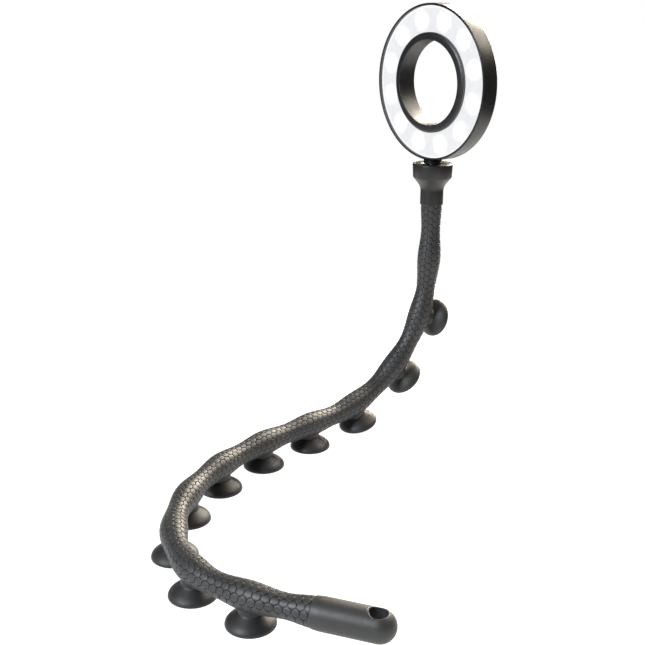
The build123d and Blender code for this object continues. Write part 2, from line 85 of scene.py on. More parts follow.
# ---------------------------------------------------------------- arm, millimetres
SECTIONS = 11
CUPS = 10
ARM_HEIGHT = 13.0
TAIL_STUB = 11.4
NECK_STUB = 14.5
SKIN_R = 5.98  # mean radius of the sleeve over its scales
SKIN_SWELL = 0.6  # how much it swells at a cup and shrinks at a waist
SKIN_HANDLE_R = 6.45  # where it meets the handle
SKIN_COLLAR_R = 5.95  # and where it enters the neck
BORE_R = 4.2
BORE_STEPS = 12
SCALE_ROWS = 9  # scales along one section
SCALE_COLUMNS = 12
TURN_STEPS = 72  # the scales are laid out in this many steps around the sleeve
GROOVE_DEPTH = 0.3
CROWN = 0.03  # how far the middle of a scale stands above its edge
PATCH_R = 6.0  # the sleeve is smooth this far around the middle of a cup
PATCH_FADE = 1.6
BLEND_REACH = 10.0  # a length to each side of a waist, along the arm; the point it gives is not used

# ---------------------------------------------------------------- suction cups
CUP_R = 11.0
CUP_NECK_R = 5.1
CUP_FLARE_TOP = 6.0
CUP_FILLET = 1.7
CUP_HOLLOW_R = 10.5
CUP_HOLLOW_HEIGHT = 3.4
CUP_STEPS = 72
PLUG_HEIGHT = 8.2  # a cup's neck is closed here, out of sight in the sleeve

# ---------------------------------------------------------------- handle
HANDLE_R = 7.1
HANDLE_SHOULDER_R = 6.75
HANDLE_SHOULDER = 4.4  # it narrows over this length, where it meets the sleeve
HANDLE_LENGTH = 35.0
HANDLE_VOXEL = 0.3
HANG_HOLE_R = 3.9
HANG_HOLE_FROM_TIP = 7.6

# ---------------------------------------------------------------- neck
COLLAR_R = 6.5
COLLAR_HEIGHT = 7.1
NECK_R = 11.3
NECK_SHOULDER_R = 10.9
NECK_SHOULDER = 15.7
NECK_HEIGHT = 23.2
CAP_R = 10.1
LID_R = CAP_R - 0.08
LID_BOTTOM = NECK_HEIGHT - 1.6

# ---------------------------------------------------------------- ring
RING_R = 42.25
RING_DEPTH = 10.3
RING_WALL = 1.2
RING_BORE_R = 23.0
BEZEL_R = 27.0
BEZEL_PROUD = 1.0
STEM_R = 5.1
STEM_SHOW = 2.2
PANE_RECESS = 0.15
PANE_THICKNESS = 1.5
LED_COUNT = 12
LED_CIRCLE_R = 34.0
GLOW_R = 5.6  # a pool of light over an LED
SCREW_CIRCLE_R = 38.8
SCREW_ANGLES = (20, 160, 200, 340)
SCREW_HEAD_R = 1.8
CONTROL_ANGLE = 235.0
BUTTON_CIRCLE_R = 30.6
BUTTON_R = 3.2
BUTTON_PROUD = 0.9
COVER_SINK = 0.05
COVER_THICKNESS = 1.2
BEZEL_WALL = 1.0
SEAM = 0.02  # neighbours in the ring overlap by this much
USB_SIZE = (9.1, 3.4)
USB_HEIGHT = -2.3  # from the middle of the ring's depth

# ---------------------------------------------------------------- camera
CAMERA_PLACE = (-6.08, -506.64, 270.79)
CAMERA_PITCH = 19.52  # degrees below level
CAMERA_LENS = 61.43

# ---------------------------------------------------------------- studio
FLOOR_HALF = 0.35  # metres
ROOM_LIGHT = 0.1
WARM = (1.0, 0.9, 0.76)
COOL = (0.9, 0.95, 1.0)

HALF_DEPTH = RING_DEPTH / 2
WALL_R = RING_R - RING_WALL
PANE_FRONT = HALF_DEPTH - PANE_RECESS
PANE_BACK = PANE_FRONT - PANE_THICKNESS


# ================================================================ the arm's line
def joint_between(a, b):
    """The joint that joins two bodies."""
    for joint in frame["joints"]:
        if {joint["parent"], joint["child"]} == {a, b}:
            return joint
    raise ValueError(f"no joint between {a} and {b}")


ARM_BODIES = ["tail"] + [f"section_{n}" for n in range(1, SECTIONS + 1)] + ["neck"]
bends = [joint_between(a, b) for a, b in zip(ARM_BODIES, ARM_BODIES[1:])]
swivel = joint_between("neck", "ring_head")
press = joint_between("ring_head", "button")


def waist_frames():
    """Place, tangent and upward direction at each waist, worked back from the neck:
    a section's arc leaves its chord at the angle at which it meets it."""
    tangent = Vector(swivel["axis"]).normalized()
    up = Vector(bends[-1]["axis"]).normalized()
    places = [Vector(joint["pos_m"]) for joint in bends]
    frames = [(places[-1], tangent, up)]
    for near, far in zip(places[-2::-1], places[:0:-1]):
        chord = (far - near).normalized()
        earlier = 2 * chord.dot(tangent) * chord - tangent
        up = tangent.rotation_difference(earlier) @ up
        tangent = earlier
        frames.insert(0, (near, tangent, up))
    return frames


WAISTS = waist_frames()
PLACES = np.array([place for place, tangent, up in WAISTS])
TANGENTS = np.array([tangent for place, tangent, up in WAISTS])
UPS = np.array([up for place, tangent, up in WAISTS])
TURN_AXES = np.cross(TANGENTS[:-1], TANGENTS[1:])
TURN_SINES = np.linalg.norm(TURN_AXES, axis=1)
TURN_AXES = TURN_AXES / TURN_SINES[:, None]
TURNS = np.arcsin(TURN_SINES)
CHORDS = np.linalg.norm(PLACES[1:] - PLACES[:-1], axis=1)
SECTION = float(np.mean(CHORDS * (TURNS / 2) / np.sin(TURNS / 2)))


def arm_line(distance):
    """Centre, tangent and upward direction at an array of distances along the arm."""
    distance = np.asarray(distance, float)
    number = np.clip(np.floor(distance / SECTION).astype(int), 0, SECTIONS - 1)
    share = np.clip(distance / SECTION - number, 0, 1)
    beyond = distance - (number + share) * SECTION
    angle = (TURNS[number] * share)[:, None]
    radius = (SECTION / TURNS[number])[:, None]
    axis, start, start_up = TURN_AXES[number], TANGENTS[number], UPS[number]
    inward = np.cross(axis, start)
    tangent = start * np.cos(angle) + inward * np.sin(angle)
    along_axis = axis * np.sum(axis * start_up, axis=1)[:, None]
    up = start_up * np.cos(angle) + np.cross(axis, start_up) * np.sin(angle)
    up = up + along_axis * (1 - np.cos(angle))
    centre = PLACES[number] + radius * (np.sin(angle) * start + (1 - np.cos(angle)) * inward)
    return centre + beyond[:, None] * tangent, tangent, up


def arm_matrix(distance):
    """A frame on the arm's line: z is the tangent and x points away from the cups."""
    centre, tangent, up = (Vector(row[0]) for row in arm_line([distance]))
    return frame_matrix(centre, up, tangent)


def frame_matrix(origin, x_axis, z_axis):
    """The matrix of a frame from its origin, x and z."""
    y_axis = z_axis.cross(x_axis)
    matrix = Matrix((x_axis, y_axis, z_axis)).transposed().to_4x4()
    matrix.translation = origin
    return matrix


def skin_radius(distance):
    """The sleeve's radius, fuller at the cups and where it meets the handle and neck."""
    distance = np.asarray(distance, float)
    waist_r = SKIN_R - SKIN_SWELL
    middle = SKIN_R - SKIN_SWELL * np.cos(2 * pi * distance / SECTION)
    tail = np.clip(-distance / (TAIL_STUB * MM), 0, 1)
    neck = np.clip((distance - SECTIONS * SECTION) / (NECK_STUB * MM), 0, 1)
    tail_r = waist_r + (SKIN_HANDLE_R - waist_r) * tail * tail * (3 - 2 * tail)
    neck_r = waist_r + (SKIN_COLLAR_R - waist_r) * neck * neck * (3 - 2 * neck)
    return np.where(distance < 0, tail_r, np.where(neck > 0, neck_r, middle)) * MM


# ================================================================ mesh helpers
def make_piece(name, points, faces, matrix=None, smooth_angle=None):
    """A mesh object from points and faces, shaded smooth."""
    mesh = bpy.data.meshes.new(name)
    mesh.from_pydata([tuple(point) for point in points], [], faces)
    mesh.update()
    mesh.shade_smooth()
    if smooth_angle:
        mesh.set_sharp_from_angle(angle=radians(smooth_angle))
    piece = bpy.data.objects.new(name, mesh)
    bpy.context.scene.collection.objects.link(piece)
    if matrix:
        piece.matrix_world = matrix
    return piece


def bezier(start, first, second, end, steps):
    """Points on a cubic curve, without its first one."""
    points = []
    for step in range(1, steps + 1):
        t = step / steps
        weights = ((1 - t) ** 3, 3 * t * (1 - t) ** 2, 3 * t * t * (1 - t), t**3)
        corners = (start, first, second, end)
        points.append(tuple(sum(w * c[i] for w, c in zip(weights, corners)) for i in (0, 1)))
    return points


def rounded(outline, steps=5):
    """A closed outline of (radius, height, rounding) with its corners rounded off."""
    points = []
    for index, (x, y, rounding) in enumerate(outline):
        corner = Vector((x, y))
        if not rounding:
            points.append((x, y))
            continue
        before = Vector(outline[index - 1][:2]) - corner
        after = Vector(outline[(index + 1) % len(outline)][:2]) - corner
        reach = rounding / tan(before.angle(after) / 2)
        start = corner + before.normalized() * reach
        end = corner + after.normalized() * reach
        points.append(tuple(start))
        points += bezier(start, start.lerp(corner, 0.55), end.lerp(corner, 0.55), end, steps)
    return points


def lathe(name, outline, matrix, around=128, smooth_angle=40):
    """An outline of (radius, height) in mm turned about a frame's z. Where it starts
    and ends on the axis it is a solid of revolution, and otherwise a closed ring."""
    on_axis = outline[0][0] == 0 and outline[-1][0] == 0
    rims = outline[1:-1] if on_axis else outline
    points, faces = [], []
    for step in range(around):
        angle = 2 * pi * step / around
        points += [(r * cos(angle) * MM, r * sin(angle) * MM, z * MM) for r, z in rims]
    count = len(rims)
    for step in range(around):
        here, there = step * count, (step + 1) % around * count
        for i in range(count - 1 if on_axis else count):
            j = (i + 1) % count
            faces.append((here + i, there + i, there + j, here + j))
    if on_axis:
        low, high = len(points), len(points) + 1
        points += [(0, 0, outline[0][1] * MM), (0, 0, outline[-1][1] * MM)]
        for step in range(around):
            here, there = step * count, (step + 1) % around * count
            faces.append((low, there, here))
            faces.append((high, here + count - 1, there + count - 1))
    return make_piece(name, points, faces, matrix, smooth_angle)


def apply_modifiers(piece, smooth_angle=40):
    """Replace a piece's mesh by what its modifiers make of it."""
    graph = bpy.context.evaluated_depsgraph_get()
    mesh = bpy.data.meshes.new_from_object(piece.evaluated_get(graph))
    piece.modifiers.clear()
    piece.data = mesh
    mesh.shade_smooth()
    if smooth_angle:
        mesh.set_sharp_from_angle(angle=radians(smooth_angle))


def cut(piece, *cutters):
    """Take the cutters away from a piece."""
    for cutter in cutters:
        modifier = piece.modifiers.new("cut", "BOOLEAN")
        modifier.object = cutter
        modifier.solver = "EXACT"
    bpy.context.view_layer.update()
    apply_modifiers(piece)
    for cutter in cutters:
        bpy.data.objects.remove(cutter)


def shift(x, y, z):
    """A move by millimetres."""
    return Matrix.Translation(Vector((x, y, z)) * MM)


# ================================================================ materials
def new_material(name):
    """A node material with only its shader and output."""
    material = bpy.data.materials.new(name)
    material.use_nodes = True
    return material, material.node_tree, material.node_tree.nodes["Principled BSDF"]


def add_node(tree, kind, inputs=None, **settings):
    """A node with settings and inputs. An input is a value or another node's output."""
    node = tree.nodes.new(kind)
    for key, value in settings.items():
        setattr(node, key, value)
    for key, value in (inputs or {}).items():
        if isinstance(value, bpy.types.NodeSocket):
            tree.links.new(value, node.inputs[key])
        else:
            node.inputs[key].default_value = value
    return node


def noise(tree, size, detail=3.0):
    """Noise whose features are about size millimetres across."""
    place = add_node(tree, "ShaderNodeTexCoord").outputs["Object"]
    inputs = {"Vector": place, "Scale": 1 / (size * MM), "Detail": detail}
    return add_node(tree, "ShaderNodeTexNoise", inputs).outputs["Fac"]


def remap(tree, value, low, high, start=0.3, end=0.7):
    """A value from start..end mapped to low..high."""
    inputs = {0: value, 1: start, 2: end, 3: low, 4: high}
    return add_node(tree, "ShaderNodeMapRange", inputs).outputs[0]


def smooth_step(tree, value, start, end):
    """0 at start and 1 at end, with soft shoulders."""
    inputs = {0: value, 1: start, 2: end, 3: 0.0, 4: 1.0}
    settings = {"interpolation_type": "SMOOTHSTEP"}
    return add_node(tree, "ShaderNodeMapRange", inputs, **settings).outputs[0]


def value_of(tree, operation, *values):
    """A math node's result."""
    inputs = dict(enumerate(values))
    return add_node(tree, "ShaderNodeMath", inputs, operation=operation).outputs[0]


def length_of(tree, x, y):
    """The length of a vector from its two parts."""
    x_squared, y_squared = value_of(tree, "MULTIPLY", x, x), value_of(tree, "MULTIPLY", y, y)
    return value_of(tree, "SQRT", value_of(tree, "ADD", x_squared, y_squared))


def mix_colours(tree, share, first, second):
    """From the first colour at share 0 to the second at 1."""
    inputs = {0: share, 6: first, 7: second}
    return add_node(tree, "ShaderNodeMix", inputs, data_type="RGBA").outputs[2]


def scaled(colour, factor):
    """A colour made lighter or darker, with alpha."""
    return [c * factor for c in colour] + [1]


def bump(tree, height, depth, strength):
    """A bump of a depth in millimetres."""
    inputs = {"Height": height, "Distance": depth * MM, "Strength": strength}
    return add_node(tree, "ShaderNodeBump", inputs).outputs["Normal"]


def moulded(
    name, colour, roughness, grain=0.25, grain_depth=0.02, mottle=0.12, wear_and_edge_highlight=0.6, shaded_grooves=False
):
    """Moulded rubber or plastic: fine grain, a slightly uneven tone and gloss, a painted
    highlight that makes sharp edges lighter, and painted shade that darkens the grooves,
    by a mesh attribute that says how deep they are."""
    material, tree, shader = new_material(name)
    blend = remap(tree, noise(tree, 9.0), 0, 1)
    fine = noise(tree, grain, detail=4.0)
    smear = noise(tree, 3.0, detail=5.0)
    surface = mix_colours(tree, blend, scaled(colour, 1 - mottle), scaled(colour, 1 + mottle))
    # Painted highlight: convex edges, such as the rims of the scales, get a lighter base colour
    # that stands in for the glints of light on them.
    edge = add_node(tree, "ShaderNodeNewGeometry").outputs["Pointiness"]
    edge_highlight = remap(tree, edge, 0, 0.5, 0.52, 0.62)
    surface = mix_colours(tree, edge_highlight, surface, scaled(colour, 1 + wear_and_edge_highlight))
    gloss = remap(tree, smear, roughness - 0.05, roughness + 0.05)
    # Painted shade: the base colour is darkened in the grooves, by the depth held in the mesh's
    # groove attribute; the grooves are also made glossier.
    if shaded_grooves:
        depth = add_node(tree, "ShaderNodeAttribute", attribute_name="groove").outputs["Fac"]
        shade = remap(tree, depth, 0, 1, 0.1, 0.6)
        surface = mix_colours(tree, shade, surface, scaled(colour, 0.12))
        gloss = value_of(tree, "SUBTRACT", gloss, remap(tree, depth, 0, 0.08, 0.02, 0.4))
    tree.links.new(surface, shader.inputs["Base Color"])
    tree.links.new(gloss, shader.inputs["Roughness"])
    tree.links.new(bump(tree, fine, grain_depth, 0.5), shader.inputs["Normal"])
    return material


def metal(name, colour, roughness, wear_and_edge_highlight=0.15):
    """Metal with fine marks and an uneven polish."""
    material, tree, shader = new_material(name)
    marks = noise(tree, 0.4, detail=5.0)
    patches = remap(tree, noise(tree, 4.0), 0, 1)
    surface = mix_colours(tree, patches, scaled(colour, 1 - wear_and_edge_highlight), scaled(colour, 1))
    tree.links.new(surface, shader.inputs["Base Color"])
    gloss = remap(tree, marks, roughness - 0.08, roughness + 0.08)
    tree.links.new(gloss, shader.inputs["Roughness"])
    tree.links.new(bump(tree, marks, 0.01, 0.4), shader.inputs["Normal"])
    shader.inputs["Metallic"].default_value = 1.0
    return material


def paint(piece, material, slot):
    """Give a piece one material. The slot argument is not used."""
    piece.data.materials.clear()
    piece.data.materials.append(material)


def glow_material():
    """The lit back of the diffuser: pale grey with a bright round pool of light over
    each LED, worked out from the place about the ring's own axis, and a brighter rim."""
    material, tree, shader = new_material("lit_diffuser")
    place = add_node(tree, "ShaderNodeTexCoord").outputs["Object"]
    x, y, _ = add_node(tree, "ShaderNodeSeparateXYZ", {0: place}).outputs
    angle = value_of(tree, "ARCTAN2", y, x)
    radius = length_of(tree, x, y)
    half = pi / LED_COUNT
    turned = value_of(tree, "WRAP", value_of(tree, "SUBTRACT", angle, half), half, -half)
    across = value_of(tree, "MULTIPLY", radius, value_of(tree, "SINE", turned))
    outward = value_of(tree, "MULTIPLY", radius, value_of(tree, "COSINE", turned))
    outward = value_of(tree, "SUBTRACT", outward, LED_CIRCLE_R * MM)
    apart = length_of(tree, across, outward)
    mottled = value_of(tree, "ADD", apart, remap(tree, noise(tree, 2.5), -0.6 * MM, 0.6 * MM))
    pool = smooth_step(tree, mottled, (GLOW_R + 1.3) * MM, (GLOW_R - 1.4) * MM)
    rim = smooth_step(tree, radius, (WALL_R - 1.9) * MM, (WALL_R - 0.5) * MM)
    uneven = remap(tree, noise(tree, 4.0), 0, 1)
    lit = mix_colours(tree, uneven, (0.76, 0.77, 0.79, 1), (0.83, 0.835, 0.85, 1))
    lit = mix_colours(tree, rim, lit, (0.93, 0.93, 0.94, 1))
    lit = mix_colours(tree, pool, lit, (1.02, 1.02, 1.02, 1))
    tree.links.new(lit, shader.inputs["Emission Color"])
    shader.inputs["Emission Strength"].default_value = 1.0
    shader.inputs["Base Color"].default_value = (0.03, 0.03, 0.03, 1)
    shader.inputs["Roughness"].default_value = 0.6
    shader.inputs["Specular IOR Level"].default_value = 0.2
    return material


def pane_material():
    """The diffuser's clear front skin."""
    material, tree, shader = new_material("clear_skin")
    shader.inputs["Base Color"].default_value = (0.95, 0.95, 0.97, 1)
    shader.inputs["Alpha"].default_value = 0.06
    gloss = remap(tree, noise(tree, 2.0), 0.28, 0.36)
    tree.links.new(gloss, shader.inputs["Roughness"])
    tree.links.new(bump(tree, noise(tree, 0.5), 0.01, 0.3), shader.inputs["Normal"])
    return material


# The sleeve's grooves get painted shade from their depth in the mesh.
SLEEVE = moulded(
    "sleeve_silicone", (0.030, 0.030, 0.031), 0.48, grain=0.3, grain_depth=0.03, shaded_grooves=True
)
RUBBER = moulded("cup_silicone", (0.015, 0.015, 0.015), 0.52, grain=0.2, grain_depth=0.012)
GRIP = moulded("grip_rubber", (0.029, 0.029, 0.029), 0.5, grain=0.2, grain_depth=0.012)
NECK = moulded("neck_plastic", (0.008, 0.008, 0.008), 0.42, grain=0.2, grain_depth=0.012)
HOUSING = moulded(
    "housing_plastic", (0.008, 0.008, 0.008), 0.36, grain=0.2, grain_depth=0.015, wear_and_edge_highlight=0.2
)
BEZEL = moulded("bezel_plastic", (0.010, 0.010, 0.0105), 0.42, grain=0.2, grain_depth=0.012)
COVER = moulded("cover_plastic", (0.026, 0.026, 0.028), 0.46, grain=0.35, grain_depth=0.03)
BUTTON = moulded("button_rubber", (0.04, 0.04, 0.043), 0.4, grain=0.2, grain_depth=0.012)
SWITCH = moulded("switch_plastic", (0.06, 0.06, 0.06), 0.5)
BOARD_WHITE = moulded("board_white", (0.8, 0.8, 0.81), 0.45, mottle=0.03)
BOARD_GREEN = moulded("board_green", (0.02, 0.14, 0.06), 0.35, mottle=0.1)
PHOSPHOR = moulded("led_package", (0.85, 0.75, 0.3), 0.3, mottle=0.05)
STEEL = metal("gooseneck_steel", (0.5, 0.51, 0.53), 0.35)
ALUMINIUM = metal("ferrule_aluminium", (0.72, 0.73, 0.75), 0.35)
FOIL = metal("battery_foil", (0.66, 0.67, 0.69), 0.45)
CONNECTOR = metal("connector_steel", (0.6, 0.61, 0.63), 0.28)
BLACKENED = metal("fastener_steel", (0.05, 0.05, 0.052), 0.42, wear_and_edge_highlight=0.4)
STUD = metal("stud_steel", (0.58, 0.59, 0.61), 0.3)
BRASS = metal("brass", (0.72, 0.52, 0.22), 0.3)
SPRING = metal("spring_steel", (0.45, 0.45, 0.47), 0.35)
GLOW = glow_material()
PANE = pane_material()

# ================================================================ sleeve
# A scale's outline about its middle: quarter rows along the arm, and steps around it.
SCALE_OUTLINE = [
    (2, -2), (2, 0), (2, 2), (1, 3), (0, 4), (-1, 3),
    (-2, 2), (-2, 0), (-2, -2), (-1, -3), (0, -4), (1, -3),
]  # fmt: skip
# The outline's sizes, from the groove to the top, and the rise of each (see on_skin).
SCALE_RINGS = [(1.0, 0.0), (0.955, 0.0), (0.92, 0.6), (0.885, 0.92), (0.83, 1.0), (0.5, 1.7)]
SCALE_PITCH = SECTION / SCALE_ROWS


def relief_share(distance, around):
    """1 where the sleeve has its scales, and 0 on the smooth patch over a cup."""
    section = np.clip(np.floor(distance / SECTION), 0, CUPS - 1)
    off_cup = distance - (section + 0.5) * SECTION
    off_under = around % (2 * pi) - pi
    apart = np.hypot(off_cup, SKIN_R * MM * off_under) / MM
    share = np.clip((apart - PATCH_R) / PATCH_FADE, 0, 1)
    return share * share * (3 - 2 * share)


def on_skin(distance, around, rise):
    """Points on the sleeve. around is 0 on the side away from the cups, and rise runs
    from 0 at the bottom of a groove to 1 at a scale's edge and 2 in its middle."""
    centre, tangent, up = arm_line(distance)
    right = np.cross(tangent, up)
    share = relief_share(distance, around)
    height = np.where(rise <= 1, (rise - 1) * GROOVE_DEPTH, (rise - 1) * CROWN) * share
    radius = skin_radius(distance) + height * MM
    outward = np.cos(around)[:, None] * up + np.sin(around)[:, None] * right
    return centre + outward * radius[:, None]


def sleeve_piece(waist):
    """The sleeve from the middle of one section to the middle of the next, in scales
    that meet in grooves, with a smooth bore inside."""
    first = SCALE_ROWS * waist - 4 if waist else -int((TAIL_STUB + 1) * MM / SCALE_PITCH) - 1
    last = SCALE_ROWS * waist + 4
    if waist == SECTIONS:
        last = SCALE_ROWS * waist + int((NECK_STUB + 1) * MM / SCALE_PITCH)
    spots, index, faces = [], {}, []

    def spot(row, turn, rise):
        spots.append((row * SCALE_PITCH / 4, turn * 2 * pi / TURN_STEPS, rise))
        return len(spots) - 1

    def shared(row, turn):
        key = (row, turn % TURN_STEPS)
        if key not in index:
            index[key] = spot(*key, 0.0)
        return index[key]

    for column in range(SCALE_COLUMNS):
        for row in range(first, last + 1):
            flat, turn = 4 * row + 2 * (column % 2), 6 * column + 3
            rings = []
            for size, rise in SCALE_RINGS:
                places = [(flat + size * a, turn + size * b) for a, b in SCALE_OUTLINE]
                if size == 1.0:
                    rings.append([shared(round(a), round(b)) for a, b in places])
                else:
                    rings.append([spot(a, b, rise) for a, b in places])
            centre = spot(flat, turn, 2.0)
            pairs = [(i, (i + 1) % len(SCALE_OUTLINE)) for i in range(len(SCALE_OUTLINE))]
            for outer, inner in zip(rings, rings[1:]):
                faces += [(outer[j], outer[i], inner[i], inner[j]) for i, j in pairs]
            faces += [(rings[-1][j], rings[-1][i], centre) for i, j in pairs]

    def border(row, side):
        """The corners along the end of the scales, all the way around."""
        keys = []
        for column in range(SCALE_COLUMNS):
            flat = 4 * row + 2 * (column % 2) + side * 2
            turn = 6 * column + 3
            step = 1 if column % 2 == 0 else -1
            keys += [(flat, turn - 2), (flat, turn), (flat, turn + 2), (flat + step, turn + 3)]
        return keys

    low, high = border(first, -1), border(last, 1)
    bore_start = len(spots)
    for step in range(BORE_STEPS + 1):
        for (row_a, turn), (row_b, _) in zip(low, high):
            spot(row_a + (row_b - row_a) * step / BORE_STEPS, turn, None)
    count = len(low)
    for step in range(BORE_STEPS):
        here = bore_start + step * count
        for i in range(count):
            a, b = here + i, here + (i + 1) % count
            faces.append((a, a + count, b + count, b))
    top = bore_start + BORE_STEPS * count
    for i in range(count):
        j = (i + 1) % count
        faces.append((shared(*low[i]), bore_start + i, bore_start + j, shared(*low[j])))
        faces.append((shared(*high[j]), top + j, top + i, shared(*high[i])))
    distance = np.array([place[0] for place in spots])
    around = np.array([place[1] for place in spots])
    inside = np.array([place[2] is None for place in spots])
    rise = np.array([place[2] or 0.0 for place in spots])
    points = on_skin(distance, around, rise)
    centre, tangent, up = arm_line(distance[inside])
    right = np.cross(tangent, up)
    turn = around[inside][:, None]
    points[inside] = centre + (np.cos(turn) * up + np.sin(turn) * right) * BORE_R * MM
    depth = np.clip(1 - rise, 0, 1) * relief_share(distance, around)
    piece = make_piece(f"arm_sleeve_{waist:02d}", points, faces, smooth_angle=70)
    # The groove depth, which the sleeve's material turns into painted shade in the grooves.
    groove = piece.data.attributes.new("groove", "FLOAT", "POINT")
    groove.data.foreach_set("value", np.where(inside, 0, depth).astype(np.float32))
    return piece


for waist in range(SECTIONS + 1):
    piece = sleeve_piece(waist)
    paint(piece, SLEEVE, "sleeve_silicone")
    place, tangent, up = WAISTS[waist]
    end = place + tangent * BLEND_REACH * MM
    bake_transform(piece)
    if waist == 0:
        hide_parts("tail_sleeve")
    else:
        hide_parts(f"sleeve_{waist:02d}")
    if waist == SECTIONS:
        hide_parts("neck_sleeve")


# ================================================================ suction cups
def cup_piece(number):
    """A suction cup: a hollow flare with a thin lip, and a neck that spreads into the
    round of the sleeve."""
    middle = (number - 0.5) * SECTION
    matrix = arm_matrix(middle)
    rim = matrix @ Matrix.Translation((-ARM_HEIGHT * MM, 0, 0))
    rim = frame_matrix(rim.translation, rim.col[2].to_3d(), rim.col[0].to_3d())
    under = bezier((0, CUP_HOLLOW_HEIGHT), (4, 3.3), (9.0, 1.5), (CUP_HOLLOW_R, 0.06), 9)
    lip = bezier(under[-1], (10.75, -0.01), (CUP_R, -0.01), (CUP_R, 0.3), 5)
    flare = bezier(lip[-1], (10.95, 2.7), (7.7, 4.0), (CUP_NECK_R, CUP_FLARE_TOP), 18)
    points, faces = [], []
    for step in range(CUP_STEPS):
        angle = 2 * pi * step / CUP_STEPS
        spread = 1.3 * cos(angle) ** 2 + 0.55 * sin(angle) ** 2
        top_r = CUP_NECK_R + spread
        sleeve_r = skin_radius(middle + top_r * cos(angle) * MM) / MM - 0.12
        top = ARM_HEIGHT - (sleeve_r**2 - (top_r * sin(angle)) ** 2) ** 0.5
        foot = max(top - CUP_FILLET, CUP_FLARE_TOP + 0.05)
        low_bend, high_bend = (CUP_NECK_R, top - 0.35), (CUP_NECK_R + 0.25 * spread, top)
        fillet = bezier((CUP_NECK_R, foot), low_bend, high_bend, (top_r, top), 7)
        plug = [(3.4, PLUG_HEIGHT - 0.2), (1.5, PLUG_HEIGHT)]
        rims = under + lip + flare + [(CUP_NECK_R, foot)] + fillet + plug
        points += [(r * cos(angle) * MM, r * sin(angle) * MM, z * MM) for r, z in rims]
    count = len(rims)
    low, high = len(points), len(points) + 1
    points += [(0, 0, CUP_HOLLOW_HEIGHT * MM), (0, 0, PLUG_HEIGHT * MM)]
    for step in range(CUP_STEPS):
        here, there = step * count, (step + 1) % CUP_STEPS * count
        faces += [(here + i, there + i, there + i + 1, here + i + 1) for i in range(count - 1)]
        faces.append((low, there, here))
        faces.append((high, here + count - 1, there + count - 1))
    return make_piece(f"cup_{number:02d}", points, faces, rim, smooth_angle=75)


for number in range(1, CUPS + 1):
    piece = cup_piece(number)
    paint(piece, RUBBER, "cup_silicone")
    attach(piece, f"section_{number}")
    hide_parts(f"suction_cup_{number:02d}")

# ================================================================ handle
tip = arm_matrix(-(TAIL_STUB + HANDLE_LENGTH) * MM)
dome = bezier(
    (0, 0), (0.5523 * HANDLE_R, 0), (HANDLE_R, 0.4477 * HANDLE_R), (HANDLE_R, HANDLE_R), 24
)
straight = HANDLE_LENGTH - HANDLE_SHOULDER - HANDLE_R
body = [(HANDLE_R, HANDLE_R + n * straight / 24) for n in range(1, 25)]
shoulder = bezier(
    (HANDLE_R, HANDLE_LENGTH - HANDLE_SHOULDER),
    (HANDLE_R, HANDLE_LENGTH - 3.0),
    (HANDLE_SHOULDER_R + 0.12, HANDLE_LENGTH - 1.4),
    (HANDLE_SHOULDER_R, HANDLE_LENGTH - 0.2),
    8,
)
end = [(HANDLE_SHOULDER_R - 0.1, HANDLE_LENGTH), (0, HANDLE_LENGTH)]
handle = lathe("handle_grip", [(0, 0)] + dome + body + shoulder + end, tip, around=96)
reach = 2 * HANDLE_R
hole = lathe(
    "hole_cutter",
    [(0, -reach), (HANG_HOLE_R, -reach), (HANG_HOLE_R, reach), (0, reach)],
    tip @ shift(0, 0, HANG_HOLE_FROM_TIP) @ Matrix.Rotation(pi / 2, 4, "Y"),
    around=64,
)
cut(handle, hole)
remesh = handle.modifiers.new("even", "REMESH")
remesh.mode = "VOXEL"
remesh.voxel_size = HANDLE_VOXEL * MM
soften = handle.modifiers.new("soften", "SMOOTH")
soften.factor = 0.6
soften.iterations = 8
bpy.context.view_layer.update()
apply_modifiers(handle, smooth_angle=None)
paint(handle, GRIP, "grip_rubber")
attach(handle, "tail")
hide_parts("handle")

# ================================================================ neck
neck = arm_matrix(SECTIONS * SECTION + NECK_STUB * MM)
flare = bezier(
    (COLLAR_R, COLLAR_HEIGHT + 0.5),
    (COLLAR_R, COLLAR_HEIGHT + 3.5),
    (COLLAR_R + 1.1, COLLAR_HEIGHT + 4.5),
    (NECK_SHOULDER_R - 0.2, NECK_SHOULDER - 0.35),
    16,
)
outline = [(0, 0), (COLLAR_R - 0.3, 0)]
outline += bezier((COLLAR_R - 0.3, 0), (COLLAR_R - 0.1, 0), (COLLAR_R, 0.1), (COLLAR_R, 0.3), 4)
outline += [(COLLAR_R, COLLAR_HEIGHT + 0.5)] + flare + [(NECK_SHOULDER_R, NECK_SHOULDER)]
outline += [(NECK_R, NECK_HEIGHT - 0.5)]
outline += bezier(
    (NECK_R, NECK_HEIGHT - 0.5),
    (NECK_R, NECK_HEIGHT - 0.15),
    (NECK_R - 0.15, NECK_HEIGHT),
    (NECK_R - 0.45, NECK_HEIGHT),
    5,
)
outline += [(CAP_R + 0.12, NECK_HEIGHT), (CAP_R, NECK_HEIGHT - 0.12), (CAP_R, LID_BOTTOM)]
outline += [(0, LID_BOTTOM)]
piece = lathe("neck_shell", outline, neck)
paint(piece, NECK, "neck_plastic")
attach(piece, "neck")
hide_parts("neck_housing")

lid_top, lid_edge = NECK_HEIGHT - 0.05, NECK_HEIGHT - 0.3
lid = [(0, LID_BOTTOM), (LID_R, LID_BOTTOM), (LID_R, lid_edge)]
lid += bezier(
    (LID_R, lid_edge),
    (LID_R, NECK_HEIGHT - 0.1),
    (CAP_R - 0.16, lid_top),
    (CAP_R - 0.35, lid_top),
    4,
)
lid += [(STEM_R + 1.0, lid_top), (STEM_R + 0.7, lid_edge), (0, lid_edge)]
piece = lathe("neck_lid", lid, neck)
paint(piece, NECK, "neck_plastic")
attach(piece, "neck")
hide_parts("neck_cap")

